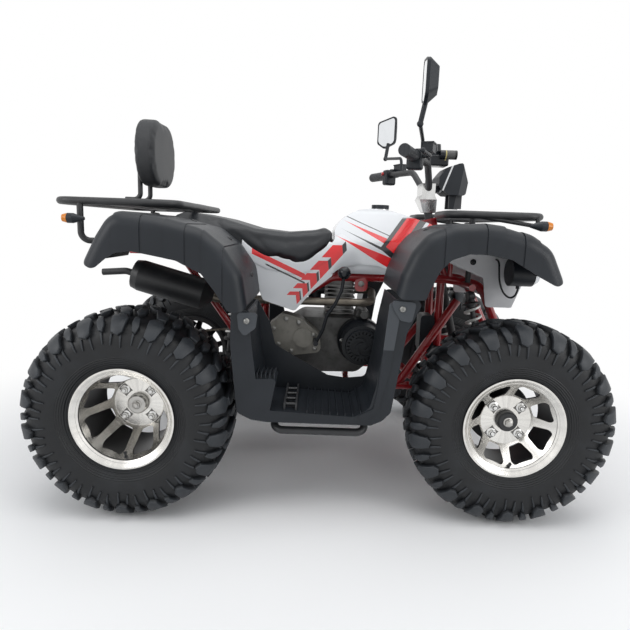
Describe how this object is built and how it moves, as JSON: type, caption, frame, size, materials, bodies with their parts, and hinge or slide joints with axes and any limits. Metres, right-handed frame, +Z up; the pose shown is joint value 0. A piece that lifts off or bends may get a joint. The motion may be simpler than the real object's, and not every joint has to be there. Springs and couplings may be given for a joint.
{
  "type": "quad bike",
  "caption": "Four-wheeled quad bike with knobbly tyres, black fenders, white panels, racks and a padded backrest.",
  "frame": {"origin": "on the floor, halfway between the front and rear axles and on the centre line", "axes": "+X to the front of the vehicle, +Y to its left side, +Z up"},
  "size_m": [1.654, 1.061, 1.271],
  "materials": {
    "tyre_rubber": "moulded, matt",
    "machined_rim": "machined face",
    "dark_steel": "satin black paint",
    "red_frame": "gloss red paint",
    "black_plastic": "fine grain",
    "white_plastic": "gloss white with red and black blocks",
    "seat_cover": "matt black vinyl",
    "engine_metal": "cast, grey",
    "plain_steel": "brushed",
    "grip_rubber": "ribbed, matt",
    "cable_rubber": "smooth, satin",
    "lamp_lens": "clear lens",
    "red_lens": "red lens",
    "amber_lens": "amber lens"
  },
  "bodies": {
    "chassis": {"main_frame": "red_frame", "nose_frame": "red_frame", "rear_frame": "red_frame", "front_arms": "dark_steel", "front_shocks": "plain_steel", "swingarm": "dark_steel", "rear_shock": "plain_steel", "engine_case": "engine_metal", "transmission_cover": "engine_metal", "fan_cover": "engine_metal", "engine_cylinder": "engine_metal", "intake": "black_plastic", "exhaust_pipe": "plain_steel", "muffler": "dark_steel", "chain": "plain_steel", "small_sprocket": "plain_steel", "seat": "seat_cover", "tank_cover": "white_plastic", "fuel_cap": "black_plastic", "side_panels": "white_plastic", "rear_deck": "black_plastic", "nose_cowl": "white_plastic", "rear_fender_left": "black_plastic", "rear_fender_right": "black_plastic", "front_fender_left": "black_plastic", "front_fender_right": "black_plastic", "footwell_left": "black_plastic", "footwell_right": "black_plastic", "foot_rails": "dark_steel", "rear_rack": "dark_steel", "front_rack": "dark_steel", "gear_lever": "dark_steel", "lamp_cable": "cable_rubber", "backrest_pad": "seat_cover", "headlamps": "lamp_lens", "tail_lamp": "red_lens", "turn_signals": "amber_lens"},
    "steering": {"steering_stem": "dark_steel", "bar_clamp": "plain_steel", "handlebar": "dark_steel", "grips": "grip_rubber", "controls": "black_plastic", "gauge": "black_plastic", "headlight_pod": "black_plastic", "mirrors": "black_plastic"},
    "knuckle_left": {"knuckle_left": "dark_steel"},
    "tie_rod_left": {"tie_rod_left": "plain_steel"},
    "front_wheel_left": {"front_tyre_left": "tyre_rubber", "front_rim_left": "machined_rim", "front_hub_left": "dark_steel"},
    "knuckle_right": {"knuckle_right": "dark_steel"},
    "tie_rod_right": {"tie_rod_right": "plain_steel"},
    "front_wheel_right": {"front_tyre_right": "tyre_rubber", "front_rim_right": "machined_rim", "front_hub_right": "dark_steel"},
    "rear_wheels": {"rear_axle": "plain_steel", "rear_tyre_left": "tyre_rubber", "rear_tyre_right": "tyre_rubber", "rear_rim_left": "machined_rim", "rear_rim_right": "machined_rim"}
  },
  "joints": [
    {"name": "steering_turn", "type": "hinge", "parent": "chassis", "child": "steering", "pos_m": [0.345, 0, 0.925], "axis": [-0.2638, 0, 0.9646], "range_deg": [-32, 32]},
    {"name": "kingpin_left", "type": "hinge", "parent": "chassis", "child": "knuckle_left", "pos_m": [0.535, 0.322, 0.292], "axis": [0, 0, 1], "range_deg": [-28, 28]},
    {"name": "tie_rod_pivot_left", "type": "hinge", "parent": "steering", "child": "tie_rod_left", "pos_m": [0.42976, 0.02, 0.31942], "axis": [-0.2638, 0, 0.9646], "range_deg": [-36, 36]},
    {"name": "front_wheel_spin_left", "type": "hinge", "parent": "knuckle_left", "child": "front_wheel_left", "pos_m": [0.535, 0.408, 0.292], "axis": [0, 1, 0], "continuous": true},
    {"name": "kingpin_right", "type": "hinge", "parent": "chassis", "child": "knuckle_right", "pos_m": [0.535, -0.322, 0.292], "axis": [0, 0, 1], "range_deg": [-28, 28]},
    {"name": "tie_rod_pivot_right", "type": "hinge", "parent": "steering", "child": "tie_rod_right", "pos_m": [0.42976, -0.02, 0.31942], "axis": [-0.2638, 0, 0.9646], "range_deg": [-36, 36]},
    {"name": "front_wheel_spin_right", "type": "hinge", "parent": "knuckle_right", "child": "front_wheel_right", "pos_m": [0.535, -0.408, 0.292], "axis": [0, 1, 0], "continuous": true},
    {"name": "rear_wheel_spin", "type": "hinge", "parent": "chassis", "child": "rear_wheels", "pos_m": [-0.535, 0, 0.292], "axis": [0, 1, 0], "continuous": true}
  ],
  "couplings": [
    {"joint": "kingpin_left", "follows": "steering_turn", "ratio": 0.87},
    {"joint": "tie_rod_pivot_left", "follows": "steering_turn", "ratio": -1.088},
    {"joint": "kingpin_right", "follows": "steering_turn", "ratio": 0.87},
    {"joint": "tie_rod_pivot_right", "follows": "steering_turn", "ratio": -1.088}
  ]
}
